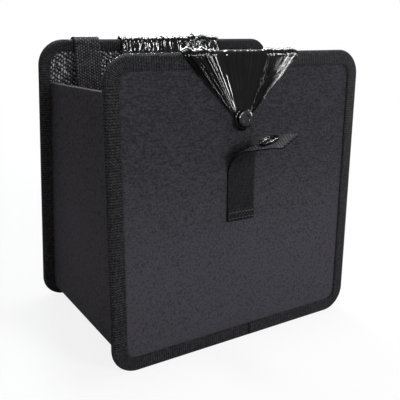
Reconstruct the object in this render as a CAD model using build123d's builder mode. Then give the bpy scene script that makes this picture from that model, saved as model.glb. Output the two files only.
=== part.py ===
"""Car trash bin: two stiff walls with taped edges, a soft gusset between them, snap tabs and a bag.

Millimetres, +Z up. The origin is on the floor under the middle of the bin, and the front faces -Y.
Every piece of a wall is drawn in that wall's own frame: u across it, v up it, n out of its leather.
"""

import os
from math import cos, pi, radians, sin, tan

from build123d import *

os.makedirs("parts", exist_ok=True)

# Walls
panel_width = 227.0  # over the taped edge
panel_height = 227.0  # along the leaning wall
panel_corner = 20.0
base_depth = 147.0  # between the two leather faces at the floor
lean = 3.4  # degrees that each wall leans in towards the top
foot_flat = 0.3  # how far the taped edge is pressed flat where it stands

# Layers, from the outside in
leather = 0.9
board = 2.0
lining = 0.6
flange = 0.7  # skived edge of the gusset, caught under the tape
tape = 0.8
layer_gap = 0.1  # between layers that lie loosely on each other
edge_gap = 0.2  # between a layer's cut edge and the fold of the tape

# Edge tape
tape_face = 11.5  # what shows of it on the leather side
tape_inside = 9.0  # at the sides and the top
tape_under = 5.8  # inside, along the bottom
tape_window_corner = 8.0
edge_bevel = 1.0  # of the fold
lap_position = 7.0  # u of the end of the tape where it laps over itself
lap_length = 14.0
lap_rise = 0.5
sewn_taper = 12.0  # degrees, at the edges of what is sewn down

# Gusset: left side, bottom and right side in one strip
gusset_inset = 10.0  # from the panel's side edges to the gusset's outer face
gusset_lift = 6.5  # of the gusset's bottom off the floor
gusset_corner = 6.0
gusset_top = 197.0  # height of its hem half way between the walls
gusset_fall = 10.0  # how much lower the hem stands at the back than at the front
gusset_lining = 0.5
hem_depth = 12.0
base_thickness = 2.0
base_side_gap = 4.0
base_corner = 6.0

# Snap fasteners
snap_height = 179.6
snap_offset = -4.0  # of the snap and its tab from the middle of the wall
cap_radius = 6.2
cap_rise = 1.6
post_radius = 1.6
post_gap = 0.08
stud_flange_radius = 6.5
stud_flange = 0.8
stud_neck_radius = 2.5
stud_neck = 2.7  # from the flange to the underside of the head
stud_head_radius = 6.0
stud_head = 1.9
stud_dish = 0.8
stud_dish_radius = 3.0
socket_gap = 0.15
socket_wall = 1.4
socket_floor = 0.5

# Tabs
webbing = 1.3
tab_width = 25.0
tab_reach = 77.7  # from a tab's sewn end up to its snap
tab_length = 97.0
tab_hem = 8.5
tab_hem_rise = 0.9
roll_start = 38.5  # along the tab, where the open tab leaves the wall
roll_radius = 20.5
roll_angle = 82.5
roll_slant = 19.7  # degrees that the fold line climbs to the right
roll_sections = 9
tip_radius = 40.0  # of the droop beyond the snap
tip_sections = 4
tab_ramp = 26.0  # run in which the closed tab climbs to its snap

# Hanging strap
strap_width = 22.0
strap_inset = 28.0  # from the back wall's side edge
strap_foot = 148.0
strap_drop = 104.0  # from the top edge to its free end inside
strap_swing = 10.0  # degrees that it hangs off the wall

# Bag
film = 0.5
film_gap = 0.5
neck_gap = 0.4  # between the film and the stud it is looped round
bag_corner = 9.0
rim_height = 148.0  # of the mouth where it lies along the gusset
rim_sweep = 12.0  # of the mouth's edge, where it rises to the folds
rim_bow = 6.0
gather_depth = 30.0  # below the top edge, where the folds start inside
front_gather = (-55.0, 46.0)  # u of the folds' two ends on the front top edge
back_gather = (-54.0, 44.0)
folds = 8
fold_rise = 2.8
edge_runs = 4  # straight runs in which they go over an edge
fold_unevenness = 0.25
fold_crowding = 0.085  # how much tighter the folds stand at the two ends
loop_radius = 7.6
loop_thickness = 1.5
loop_width = 16.0  # of the folds where they reach the snap
loop_sink = 0.05  # of the folds into the loop

# Worked out from the sizes above
wall_layers = leather + board + lining
stack = wall_layers + flange
edge_half = stack / 2 + tape
edge_reach = (edge_half**2 + (edge_half - edge_bevel) ** 2) ** 0.5 + edge_gap  # round the folded tape
edge_v = panel_height - edge_half  # line that the top edge's fold is bent round
edge_n = -stack / 2
snap_reach = stud_flange + stud_neck + stud_head
gusset_side = panel_width / 2 - gusset_inset
tab_foot = snap_height - tab_reach
strap_side = panel_width / 2 - strap_inset - strap_width


def wall_plane(side):
    """A wall's own frame: x across as seen from outside, y up the wall, z out of its leather."""
    outward = (0, side * cos(radians(lean)), sin(radians(lean)))
    return Plane(origin=(0, side * base_depth / 2, -foot_flat), x_dir=(-side, 0, 0), z_dir=outward)


def along(wall, u, v, n):
    """A direction given in a wall's frame, in the bin's frame."""
    return wall.x_dir * u + wall.y_dir * v + wall.z_dir * n


def place(wall, u, v, n):
    """A point given in a wall's frame, in the bin's frame."""
    return wall.origin + along(wall, u, v, n)


def shifted(wall, u, v, n):
    """The wall's frame moved to a point of its own."""
    return Plane(origin=place(wall, u, v, n), x_dir=wall.x_dir, z_dir=wall.z_dir)


def profile_plane(wall, u):
    """The plane across a wall at u, with v along its x and n along its y."""
    return Plane(origin=place(wall, u, 0, 0), x_dir=wall.y_dir, z_dir=wall.x_dir)


def up_wall(height, depth):
    """How far up a wall a height above the floor lies, at a depth behind its leather face."""
    return (height + foot_flat + depth * sin(radians(lean))) / cos(radians(lean))


def save(piece, name):
    piece.part.label = name
    export_step(piece.part, f"parts/{name}.step")


front = wall_plane(-1)
back = wall_plane(1)
walls = {"front": front, "back": back}
gathers = {"front": front_gather, "back": back_gather}


# Flat layers of the two walls, each pierced by the snap's post
layers = {"leather": (0, leather), "board": (leather, board), "lining": (leather + board, lining)}
for name, wall in walls.items():
    for layer, (depth, thickness) in layers.items():
        cut_back = 2 * (tape + edge_gap)
        with BuildPart() as sheet:
            with BuildSketch(shifted(wall, 0, panel_height / 2, -depth)):
                RectangleRounded(
                    panel_width - cut_back, panel_height - cut_back, panel_corner - cut_back / 2
                )
                with Locations((snap_offset, snap_height - panel_height / 2)):
                    Circle(post_radius + post_gap, mode=Mode.SUBTRACT)
            extrude(amount=-thickness)
        save(sheet, f"{name}_{layer}")


# Edge tape: folded over the wall and the gusset's flange, with its end lapped at the bottom
for name, wall in walls.items():
    with BuildPart() as binding:
        with BuildSketch(shifted(wall, 0, panel_height / 2, tape)):
            RectangleRounded(panel_width, panel_height, panel_corner)
        extrude(amount=-2 * edge_half)
        rims = binding.faces().filter_by(GeomType.PLANE).filter_by(lambda f: f.area > panel_width)
        chamfer(rims.filter_by(lambda f: abs(f.normal_at().dot(wall.z_dir)) > 0.9).edges(), edge_bevel)
        with BuildSketch(shifted(wall, 0, panel_height / 2, 0)):
            RectangleRounded(panel_width - 2 * tape, panel_height - 2 * tape, panel_corner - tape)
        extrude(amount=-stack, mode=Mode.SUBTRACT)
        with BuildSketch(shifted(wall, 0, panel_height / 2, 0)):
            RectangleRounded(
                panel_width - 2 * tape_face, panel_height - 2 * tape_face, tape_window_corner
            )
        extrude(amount=2 * tape, mode=Mode.SUBTRACT)
        with BuildSketch(shifted(wall, 0, tape_under, -stack)):
            RectangleRounded(
                panel_width - 2 * tape_inside, panel_height - tape_under - tape_inside,
                gusset_corner + gusset_inset - tape_inside, align=(Align.CENTER, Align.MIN),
            )
        extrude(amount=-2 * tape, mode=Mode.SUBTRACT)
        with BuildSketch(shifted(wall, lap_position + lap_length / 2, 0, tape)):
            Rectangle(lap_length, tape_face, align=(Align.CENTER, Align.MIN))
        extrude(amount=lap_rise, taper=sewn_taper)
        split(bisect_by=Plane.XY, keep=Keep.TOP)
    save(binding, f"{name}_binding")


def trough(side, bottom, corner, thickness, top):
    """Outline of a strip bent into a U, standing on `bottom`, drawn from the front."""
    with BuildSketch(Plane.XZ) as outline:
        with Locations((0, bottom)):
            RectangleRounded(2 * side, 2 * top, corner, align=(Align.CENTER, Align.MIN))
        with Locations((0, bottom + thickness)):
            RectangleRounded(
                2 * (side - thickness), 2 * top, corner - thickness,
                align=(Align.CENTER, Align.MIN), mode=Mode.SUBTRACT,
            )
        with Locations((0, top)):
            Rectangle(4 * side, 4 * top, align=(Align.CENTER, Align.MIN), mode=Mode.SUBTRACT)
    return outline.sketch


# Gusset: a strip bent into a U, its edges turned out along the walls and its tops hemmed inwards
hem_reach = 2 * leather + gusset_lining + 2 * layer_gap
hem_slope = gusset_fall / base_depth
plain_top = gusset_top - gusset_fall - hem_depth
hem_run = base_depth / 2 - wall_layers - gusset_top * tan(radians(lean))
with BuildPart() as gusset:
    with BuildSketch(Plane.XZ):
        add(trough(gusset_side, gusset_lift, gusset_corner, leather, plain_top))
    extrude(amount=base_depth / 2, both=True)
    with BuildSketch(Plane.XZ):
        for hand in (-1, 1):
            with Locations((hand * (gusset_side - leather / 2), gusset_top)):
                Rectangle(leather, gusset_top - plain_top + gusset_fall, align=(Align.CENTER, Align.MAX))
            with Locations((hand * (gusset_side - hem_reach / 2), gusset_top)):
                Rectangle(hem_reach, leather, align=(Align.CENTER, Align.MAX))
            with Locations((hand * (gusset_side - hem_reach + leather / 2), gusset_top)):
                Rectangle(leather, hem_depth, align=(Align.CENTER, Align.MAX))
    extrude(amount=base_depth / 2, dir=(0, -1, hem_slope), both=True)
    for wall in walls.values():
        split(bisect_by=wall.offset(-wall_layers), keep=Keep.BOTTOM)
    for wall in walls.values():
        with BuildSketch(shifted(wall, 0, panel_height / 2, -wall_layers)):
            caught = 2 * (tape + edge_gap)
            RectangleRounded(
                panel_width - caught, panel_height - caught, panel_corner - caught / 2
            )
            with Locations((0, up_wall(gusset_lift + leather, wall_layers) - panel_height / 2)):
                RectangleRounded(
                    2 * (gusset_side - leather), 2 * panel_height, gusset_corner - leather,
                    align=(Align.CENTER, Align.MIN), mode=Mode.SUBTRACT,
                )
            hem_end = gusset_top + hem_slope * hem_run * wall.x_dir.X
            with Locations((0, up_wall(hem_end, wall_layers) - panel_height / 2)):
                Rectangle(
                    2 * panel_width, panel_height, align=(Align.CENTER, Align.MIN), mode=Mode.SUBTRACT
                )
        extrude(amount=-flange)
save(gusset, "gusset")


# Lining of the gusset, over the base board
lining_side = gusset_side - leather - layer_gap
lining_corner = gusset_corner - leather - layer_gap
lining_bottom = gusset_lift + leather + base_thickness + 2 * layer_gap
lining_top = gusset_top - gusset_fall / 2 - leather - layer_gap
with BuildPart() as inner_gusset:
    with BuildSketch(Plane.XZ):
        add(trough(lining_side, lining_bottom, lining_corner, gusset_lining, lining_top))
    extrude(amount=base_depth / 2, both=True)
    for wall in walls.values():
        split(bisect_by=wall.offset(-stack - layer_gap), keep=Keep.BOTTOM)
save(inner_gusset, "gusset_lining")


# Base board, between the gusset and its lining
with BuildPart() as base:
    with BuildSketch(Plane.XY.offset(gusset_lift + leather + layer_gap)):
        Rectangle(
            2 * (gusset_side - gusset_corner - base_side_gap),
            base_depth - 2 * (stack + base_side_gap),
        )
    extrude(amount=base_thickness)
    fillet(base.edges().filter_by(Axis.Z), base_corner)
save(base, "base_board")


# Snap fasteners, each turned from its half profile, with r across and the height along the snap's axis
def turned(seat, profile):
    """A solid turned about the axis of a seat from the points of its half profile."""
    half = Plane(origin=seat.origin, x_dir=seat.x_dir, z_dir=seat.x_dir.cross(seat.z_dir))
    with BuildPart() as solid:
        with BuildSketch(half):
            with BuildLine():
                Polyline(*profile, close=True)
            make_face()
        revolve(axis=Axis(seat.origin, seat.z_dir))
    return solid


def cap_on(seat, post):
    """A cap on a seat, with its post reaching back through what it holds."""
    return turned(seat, [
        (0, -post), (post_radius, -post), (post_radius, 0),
        (cap_radius, 0), (cap_radius, cap_rise), (0, cap_rise),
    ])


# A stud outside each wall, held by a cap whose post goes through the wall from inside
for name, wall in walls.items():
    head = stud_flange + stud_neck
    stud = turned(shifted(wall, snap_offset, snap_height, 0), [
        (0, 0), (stud_flange_radius, 0), (stud_flange_radius, stud_flange), (stud_neck_radius, stud_flange),
        (stud_neck_radius, head), (stud_head_radius, head), (stud_head_radius, snap_reach),
        (stud_dish_radius, snap_reach),
        (stud_dish_radius, snap_reach - stud_dish), (0, snap_reach - stud_dish),
    ])
    save(stud, f"{name}_stud")
    inside = shifted(wall, snap_offset, snap_height, -wall_layers)
    inside_seat = Plane(origin=inside.origin, x_dir=inside.x_dir, z_dir=inside.z_dir * -1)
    save(cap_on(inside_seat, wall_layers), f"{name}_stud_cap")


# Tabs: webbing sewn to each wall below its snap
closed_lift = snap_reach + layer_gap + socket_floor  # from the leather to a closed tab's inner face
socket_radius = stud_head_radius + socket_gap + socket_wall
ramp_extra = (tab_ramp**2 + closed_lift**2) ** 0.5 - tab_ramp
socket_along = snap_height - tab_foot + ramp_extra
slant = radians(roll_slant)


def roll_plane(face, start, slant, radius, angle):
    """Across a rolled tab, turned by `angle` from `face`: x along the fold line, z onward."""
    slide = radius * angle * tan(slant)
    over = radius * sin(angle)
    middle = place(
        face,
        slide * cos(slant) - over * sin(slant),
        start + slide * sin(slant) + over * cos(slant),
        radius * (1 - cos(angle)),
    )
    fold_line = along(face, cos(slant), sin(slant), 0)
    onward = along(face, -sin(slant) * cos(angle), cos(slant) * cos(angle), sin(angle))
    return Plane(origin=middle, x_dir=fold_line, z_dir=onward)


tab_plane = shifted(front, snap_offset, tab_foot, 0)
roll_end = radians(roll_angle)
last = roll_plane(tab_plane, roll_start, slant, roll_radius, roll_end)
end_start = roll_start + roll_radius * roll_end / cos(slant)
end_plane = Plane(
    origin=last.origin,
    x_dir=last.x_dir * cos(slant) - last.z_dir * sin(slant),
    z_dir=last.y_dir * -1,
)
tip_start = socket_along + socket_radius - end_start
tip_end = (tab_length - end_start - tip_start) / tip_radius
half_tab = tab_width / 2
half_rise = half_tab * tan(slant)

with BuildPart() as front_tab:
    with BuildSketch(tab_plane):
        with BuildLine():
            Polyline(
                (-half_tab, 0), (half_tab, 0), (half_tab, roll_start + half_rise),
                (-half_tab, roll_start - half_rise), close=True,
            )
        make_face()
    extrude(amount=webbing)
    for i in range(roll_sections):
        angle = roll_end * i / (roll_sections - 1)
        with BuildSketch(roll_plane(tab_plane, roll_start, slant, roll_radius, angle)):
            Rectangle(tab_width / cos(slant), webbing, align=(Align.CENTER, Align.MAX))
    loft(ruled=True)
    with BuildSketch(end_plane):
        with BuildLine():
            Polyline(
                (-half_tab, -half_rise), (half_tab, half_rise), (half_tab, tip_start),
                (-half_tab, tip_start), close=True,
            )
        make_face()
        with Locations((0, socket_along - end_start)):
            Circle(post_radius + post_gap, mode=Mode.SUBTRACT)
    extrude(amount=webbing)
    for i in range(tip_sections):
        angle = tip_end * i / (tip_sections - 1)
        with BuildSketch(roll_plane(end_plane, tip_start, 0, tip_radius, angle)):
            Rectangle(tab_width, webbing, align=(Align.CENTER, Align.MAX))
    loft(ruled=True)
    with BuildSketch(shifted(front, snap_offset, tab_foot, webbing)):
        Rectangle(tab_width, tab_hem, align=(Align.CENTER, Align.MIN))
    extrude(amount=tab_hem_rise, taper=sewn_taper)
save(front_tab, "front_tab")

with BuildPart() as back_tab:
    with BuildSketch(profile_plane(back, snap_offset - half_tab)):
        with BuildLine() as middle_line:
            ramp_end = snap_height - socket_radius - 2 * webbing
            FilletPolyline(
                (tab_foot, webbing / 2),
                (ramp_end - tab_ramp, webbing / 2),
                (ramp_end, closed_lift + webbing / 2),
                (tab_foot + tab_length - ramp_extra, closed_lift + webbing / 2),
                radius=roll_radius,
            )
        trace(middle_line.line, line_width=webbing)
    extrude(amount=tab_width)
    with BuildSketch(shifted(back, snap_offset, snap_height, closed_lift)):
        Circle(post_radius + post_gap)
    extrude(amount=webbing, mode=Mode.SUBTRACT)
    with BuildSketch(shifted(back, snap_offset, tab_foot, webbing)):
        Rectangle(tab_width, tab_hem, align=(Align.CENTER, Align.MIN))
    extrude(amount=tab_hem_rise, taper=sewn_taper)
save(back_tab, "back_tab")


# Snap sockets on the tabs' inner faces, held by caps on their outer faces
open_seat = Plane(
    origin=end_plane.origin + end_plane.y_dir * (socket_along - end_start),
    x_dir=end_plane.x_dir,
    z_dir=end_plane.z_dir,
)
seats = {"front": open_seat, "back": shifted(back, snap_offset, snap_height, closed_lift)}
for name, seat in seats.items():
    bore = stud_head_radius + socket_gap
    depth = socket_floor + stud_head
    socket = turned(seat, [
        (0, 0), (socket_radius, 0), (socket_radius, -depth),
        (bore, -depth), (bore, -socket_floor), (0, -socket_floor),
    ])
    save(socket, f"{name}_tab_socket")
    save(cap_on(seat.offset(webbing), webbing), f"{name}_tab_cap")


# Hanging strap: sewn outside the back wall, over its top edge and down inside
strap_middle = webbing / 2
over_edge = edge_reach + strap_middle
with BuildPart() as strap:
    with BuildSketch(profile_plane(back, strap_side)):
        with BuildLine() as strap_line:
            below_tape = panel_height - tape_face - webbing
            sewn = Line((strap_foot, strap_middle), (below_tape - tape_face, strap_middle))
            rise = Line(sewn @ 1, (below_tape, edge_n + over_edge))
            upright = Line(rise @ 1, (edge_v, edge_n + over_edge))
            swing = radians(strap_swing)
            leaves = (edge_v + over_edge * sin(swing), edge_n - over_edge * cos(swing))
            turn = ThreePointArc(upright @ 1, (edge_v + over_edge, edge_n), leaves)
            Line(turn @ 1, turn @ 1 + turn % 1 * strap_drop)
        trace(strap_line.line, line_width=webbing)
    extrude(amount=strap_width)
save(strap, "hanging_strap")


# Bag: a film sack against the linings, gathered in folds over both top edges and looped round the studs
bag_depth = wall_layers + cap_rise + film_gap
bag_side = lining_side - gusset_lining - film_gap
bag_bottom = lining_bottom + gusset_lining + layer_gap
loop_lift = stud_flange + (stud_neck - loop_thickness) / 2


def film_wall(wall, left, right):
    """The sack's sheet along one wall, rising from its rim to the folds between `left` and `right`."""
    top = panel_height - gather_depth
    with BuildPart() as sheet:
        with BuildSketch(Plane.XZ):
            with Locations((0, bag_bottom)):
                RectangleRounded(
                    2 * bag_side, 2 * rim_height, bag_corner, align=(Align.CENTER, Align.MIN)
                )
            with Locations((0, rim_height)):
                Rectangle(
                    4 * bag_side, 4 * rim_height, align=(Align.CENTER, Align.MIN), mode=Mode.SUBTRACT
                )
            with BuildLine():
                Bezier((-bag_side, rim_height), (left - rim_sweep, rim_height + rim_bow), (left, top))
                Line((left, top), (right, top))
                Bezier((right, top), (right + rim_sweep, rim_height + rim_bow), (bag_side, rim_height))
                Line((bag_side, rim_height), (-bag_side, rim_height))
            make_face()
        extrude(amount=base_depth, both=True)
        split(bisect_by=wall.offset(-bag_depth), keep=Keep.BOTTOM)
        split(bisect_by=wall.offset(-bag_depth - film), keep=Keep.TOP)
    return sheet.part


def fold_section(wall, left, right, v, n, turn, rise, sheet):
    """A section through the folds, standing off the wall in the direction `turn` from straight up."""
    standing = along(wall, 0, cos(turn), sin(turn))
    section = Plane(origin=place(wall, 0, v, n), x_dir=wall.x_dir, z_dir=wall.x_dir.cross(standing))
    edge = []
    for i in range(2 * folds + 1):
        share = i / (2 * folds)
        across = share - fold_crowding * sin(2 * pi * share)
        height = rise * (i % 2) * (1 - fold_unevenness * (1 - cos(3 * i)))
        edge.append((left + (right - left) * across, height))
    other = [(x, y + sheet) for x, y in reversed(edge)]
    with BuildSketch(section) as outline:
        with BuildLine():
            Polyline(*edge, *other, close=True)
        make_face()
    return outline.sketch


def edge_run(wall, left, right, turn, bend):
    """One straight run of the folds round the top edge, mitred to the runs next to it."""
    v = edge_v + edge_reach * cos(turn)
    n = edge_n + edge_reach * sin(turn)
    mitre = cos(bend / 2)
    with BuildPart() as run:
        extrude(
            fold_section(wall, left, right, v, n, turn, fold_rise * mitre, film * mitre),
            amount=edge_reach + fold_rise, both=True,
        )
        for end in (-1, 1):
            angle = turn + end * bend / 2
            onward = along(wall, 0, -end * sin(angle), end * cos(angle))
            cut = Plane(origin=place(wall, 0, edge_v, edge_n), x_dir=wall.x_dir, z_dir=onward)
            split(bisect_by=cut, keep=Keep.BOTTOM)
    return run.part


def gathered(wall, left, right):
    """The folds of film from inside a wall, over its top edge and down to the stud."""
    bend = pi / edge_runs
    reach = edge_reach / cos(bend / 2)
    inside = panel_height - gather_depth - film
    foot = snap_height - loop_radius / 3
    foot_left = snap_offset - loop_width / 2
    foot_right = snap_offset + loop_width / 2
    thin = film * loop_width / (right - left) + loop_sink
    rising = fold_section(wall, left, right, inside, -bag_depth - film / 4, -pi / 2, fold_rise, film)
    rise = wall.from_local_coords(Vector(0, edge_v, edge_n - reach))
    rise -= wall.from_local_coords(Vector(0, inside, -bag_depth - film / 4))
    falling = [
        fold_section(wall, left, right, edge_v, edge_n + reach, pi / 2, fold_rise, film),
        fold_section(
            wall, foot_left, foot_right, foot, loop_lift + loop_sink, pi / 2, loop_thickness - film, thin
        ),
    ]
    with BuildPart() as fan:
        extrude(rising, amount=rise.length, dir=rise)
        for i in range(edge_runs):
            add(edge_run(wall, left, right, bend * (i + 0.5) - pi / 2, bend))
        loft(falling, ruled=True)
    return fan.part


films = []
fans = []
for name, wall in walls.items():
    left, right = gathers[name]
    hand = wall.x_dir.X
    films.append(film_wall(wall, min(hand * left, hand * right), max(hand * left, hand * right)))
    fans.append(gathered(wall, left, right))

with BuildPart() as bag:
    with BuildSketch(Plane.XZ):
        add(trough(bag_side, bag_bottom, bag_corner, film, rim_height))
    extrude(amount=base_depth / 2, both=True)
    for wall in walls.values():
        split(bisect_by=wall.offset(-bag_depth), keep=Keep.BOTTOM)
    add(films)
    add(fans)
    for wall in walls.values():
        with BuildSketch(shifted(wall, snap_offset, snap_height, loop_lift)):
            Circle(loop_radius)
        extrude(amount=loop_thickness)
        with BuildSketch(shifted(wall, snap_offset, snap_height, 0)):
            Circle(stud_neck_radius + neck_gap)
        extrude(amount=snap_reach, mode=Mode.SUBTRACT)
save(bag, "bag_liner")
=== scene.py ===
import bpy
import bmesh
import random
from math import atan2, ceil, cos, floor, hypot, pi, radians, sin, tan
from mathutils import Matrix, Vector, noise


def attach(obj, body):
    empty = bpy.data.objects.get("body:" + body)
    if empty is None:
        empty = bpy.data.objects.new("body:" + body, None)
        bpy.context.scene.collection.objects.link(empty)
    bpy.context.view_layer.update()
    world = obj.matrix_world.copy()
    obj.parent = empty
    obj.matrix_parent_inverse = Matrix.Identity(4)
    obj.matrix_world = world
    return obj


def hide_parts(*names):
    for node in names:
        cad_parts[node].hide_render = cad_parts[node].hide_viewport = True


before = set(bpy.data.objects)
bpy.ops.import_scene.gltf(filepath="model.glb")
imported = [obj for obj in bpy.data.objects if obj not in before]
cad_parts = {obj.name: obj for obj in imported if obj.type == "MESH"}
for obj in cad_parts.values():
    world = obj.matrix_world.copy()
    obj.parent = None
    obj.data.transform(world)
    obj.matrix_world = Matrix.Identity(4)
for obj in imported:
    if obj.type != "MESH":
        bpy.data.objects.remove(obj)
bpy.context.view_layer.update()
scene = bpy.context.scene
scene.view_settings.view_transform = "Standard"
mm = 0.001

# sizes shared by all the pieces, as the frame has them, in millimetres; the lean is in degrees
binSize = {
    "panel": 227.0, "corner": 20.0, "depth": 147.0, "lean": 3.4, "footFlat": 0.3,
    "wallLayers": 3.5, "stack": 4.2, "tape": 0.8, "snapHeight": 179.6, "snapOffset": -4.0,
}
lean = radians(binSize["lean"])
edgeHalf = binSize["stack"] / 2 + binSize["tape"]
edgeV = binSize["panel"] - edgeHalf  # the line that the top edge is folded round
edgeN = -binSize["stack"] / 2
edgeReach = 3.67  # clear of the tape's fold


def axesOf(x, y, z):
    return Matrix((x, y, z)).transposed().to_4x4()


def wallFrame(side):
    across = Vector((-side, 0, 0))
    outward = Vector((0, side * cos(lean), sin(lean)))
    m = axesOf(across, outward.cross(across), outward)
    m.translation = (0, side * binSize["depth"] / 2 * mm, -binSize["footFlat"] * mm)
    return m @ Matrix.Scale(mm, 4)  # so a wall's own points are in millimetres


frontWall, backWall = wallFrame(-1), wallFrame(1)


def smooth(x):
    x = min(max(x, 0.0), 1.0)
    return x * x * (3 - 2 * x)


def mix(a, b, t):
    return a + (b - a) * t


def rowPoints(start, end, steps):
    return [(mix(start[0], end[0], i / steps), mix(start[1], end[1], i / steps)) for i in range(steps + 1)]


def arcPoints(centre, r, start, end, steps):
    turns = [mix(start, end, i / steps) for i in range(steps + 1)]
    return [(centre[0] + r * cos(a), centre[1] + r * sin(a)) for a in turns]


# node helpers and shared groups; a socket takes a value or a link
def addNode(tree, kind, at=(0, 0), sockets=None, **settings):
    n = tree.nodes.new(kind)
    n.location = at
    for key, value in settings.items():
        setattr(n, key, value)
    for key, value in (sockets or {}).items():
        if isinstance(value, bpy.types.NodeSocket):
            tree.links.new(value, n.inputs[key])
        else:
            n.inputs[key].default_value = value
    return n


def calc(tree, operation, a, b=None, at=(0, 0)):
    sockets = {0: a} if b is None else {0: a, 1: b}
    return addNode(tree, "ShaderNodeMath", at, sockets, operation=operation).outputs[0]


def arch(tree, value):
    return calc(tree, "ABSOLUTE", calc(tree, "SINE", calc(tree, "MULTIPLY", value, pi)))


def remap(tree, value, span, result, at, curve="SMOOTHSTEP"):
    (low, high), (first, last) = span, result
    sockets = {"Value": value, "From Min": low, "From Max": high, "To Min": first, "To Max": last}
    return addNode(tree, "ShaderNodeMapRange", at, sockets, interpolation_type=curve).outputs[0]


def newGroup(name, values, outputs):
    g = bpy.data.node_groups.new(name, "ShaderNodeTree")
    g.interface.new_socket("Vector", in_out="INPUT", socket_type="NodeSocketVector")
    for label, value in values.items():
        s = g.interface.new_socket(label, in_out="INPUT", socket_type="NodeSocketFloat")
        s.default_value = value
    for label in outputs:
        g.interface.new_socket(label, in_out="OUTPUT", socket_type="NodeSocketFloat")
    return g, addNode(g, "NodeGroupInput", (-1500, 0)).outputs


# pebbled hide: small rounded cells with a finer tooth on them, and slow patches of tone
pebbleLook = {"roundness": 1.6, "toothRise": 0.5}
pebblePatch = {"Scale": 210.0, "Detail": 5.0, "Roughness": 0.65}
hideGrain, given = newGroup("hideGrain", {"Cells": 700.0, "Tooth": 2400.0}, ["Height", "Patch"])
point = given["Vector"]
cell = addNode(hideGrain, "ShaderNodeTexVoronoi", (-500, 200), {"Vector": point, "Scale": given["Cells"]},
               feature="SMOOTH_F1")
tooth = addNode(hideGrain, "ShaderNodeTexNoise", (-500, -80), {"Vector": point, "Scale": given["Tooth"]})
patch = addNode(hideGrain, "ShaderNodeTexNoise", (-500, -360), {"Vector": point, **pebblePatch})
rounded = calc(hideGrain, "POWER", cell.outputs["Distance"], pebbleLook["roundness"], (-250, 200))
domed = calc(hideGrain, "SUBTRACT", 1.0, rounded, (-80, 200))
teeth = calc(hideGrain, "MULTIPLY", tooth.outputs["Fac"], pebbleLook["toothRise"], (-250, -80))
pebbles = calc(hideGrain, "ADD", domed, teeth, (200, 100))
addNode(hideGrain, "NodeGroupOutput", (900, 0), {"Height": pebbles, "Patch": patch.outputs["Fac"]})

# woven threads: rounded floats in columns, each column shifted on the last; ribs run on across the columns
threadLook = {"stray": 0.3, "plump": 0.7, "luckShare": 0.4}
threadFray = {"Scale": 0.55, "Detail": 4.0, "Roughness": 0.7}
threads, given = newGroup(
    "threads", {"Column": 1.5, "Float": 1.5, "Shift": 0.5, "Ribs": 0.0, "Wander": 0.3}, ["Height", "Fray"])
point = given["Vector"]
stray = addNode(threads, "ShaderNodeTexNoise", (-1300, -160), {"Vector": point, "Scale": threadLook["stray"]})
centred = addNode(threads, "ShaderNodeVectorMath", (-1140, -160),
                  {0: stray.outputs["Color"], 1: (0.5, 0.5, 0.5)}, operation="SUBTRACT")
aside = addNode(threads, "ShaderNodeVectorMath", (-1000, -160),
                {0: centred.outputs["Vector"], "Scale": given["Wander"]}, operation="SCALE")
moved = addNode(threads, "ShaderNodeVectorMath", (-860, 0), {0: point, 1: aside.outputs["Vector"]},
                operation="ADD")
split = addNode(threads, "ShaderNodeSeparateXYZ", (-720, 0), {0: moved.outputs["Vector"]})
column = calc(threads, "DIVIDE", split.outputs["X"], given["Column"], (-540, 120))
along = calc(threads, "DIVIDE", split.outputs["Y"], given["Float"], (-540, -120))
count = calc(threads, "FLOOR", column, None, (-380, 260))
offset = calc(threads, "MULTIPLY", count, given["Shift"], (-60, 260))
shifted = calc(threads, "ADD", along, offset, (100, 40))
crossed = calc(threads, "MULTIPLY", arch(threads, column), arch(threads, shifted), (400, 80))
dots = calc(threads, "POWER", crossed, threadLook["plump"], (560, 80))
pattern = addNode(threads, "ShaderNodeMix", (700, 80),
                  {"Factor": given["Ribs"], "A": dots, "B": arch(threads, along)})
fray = addNode(threads, "ShaderNodeTexNoise", (-540, -400), {"Vector": point, **threadFray})
row = calc(threads, "FLOOR", shifted, None, (-60, -420))
own = addNode(threads, "ShaderNodeCombineXYZ", (100, -260), {"X": count, "Y": row})  # each float's own place
luck = addNode(threads, "ShaderNodeTexWhiteNoise", (260, -260), {"Vector": own.outputs[0]},
               noise_dimensions="2D")
uneven = addNode(threads, "ShaderNodeMix", (480, -260),
                 {"Factor": threadLook["luckShare"], "A": fray.outputs["Fac"], "B": luck.outputs["Value"]})
addNode(threads, "NodeGroupOutput", (900, 0),
        {"Height": pattern.outputs["Result"], "Fray": uneven.outputs["Result"]})


def newFinish(name, look):
    m = bpy.data.materials.new(name)
    m.use_nodes = True
    shader = m.node_tree.nodes["Principled BSDF"]
    shader.inputs["Roughness"].default_value = look["rough"]
    shader.inputs["Specular IOR Level"].default_value = look["specular"]
    return m, m.node_tree, shader


def useGroup(tree, group, vector, values):
    return addNode(tree, "ShaderNodeGroup", (-600, 0), {"Vector": vector, **values}, node_tree=group)


def tint(tree, shader, fac, stops):
    n = addNode(tree, "ShaderNodeValToRGB", (-200, 200), {0: fac})
    while len(n.color_ramp.elements) < len(stops):
        n.color_ramp.elements.new(0.5)
    for element, (place, colour) in zip(n.color_ramp.elements, stops):
        element.position = place
        element.color = (*colour, 1)
    tree.links.new(n.outputs[0], shader.inputs["Base Color"])


def bump(tree, shader, height, strength, distance):
    sockets = {"Height": height, "Strength": strength, "Distance": distance}
    n = addNode(tree, "ShaderNodeBump", (-200, -300), sockets)
    tree.links.new(n.outputs["Normal"], shader.inputs["Normal"])


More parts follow.
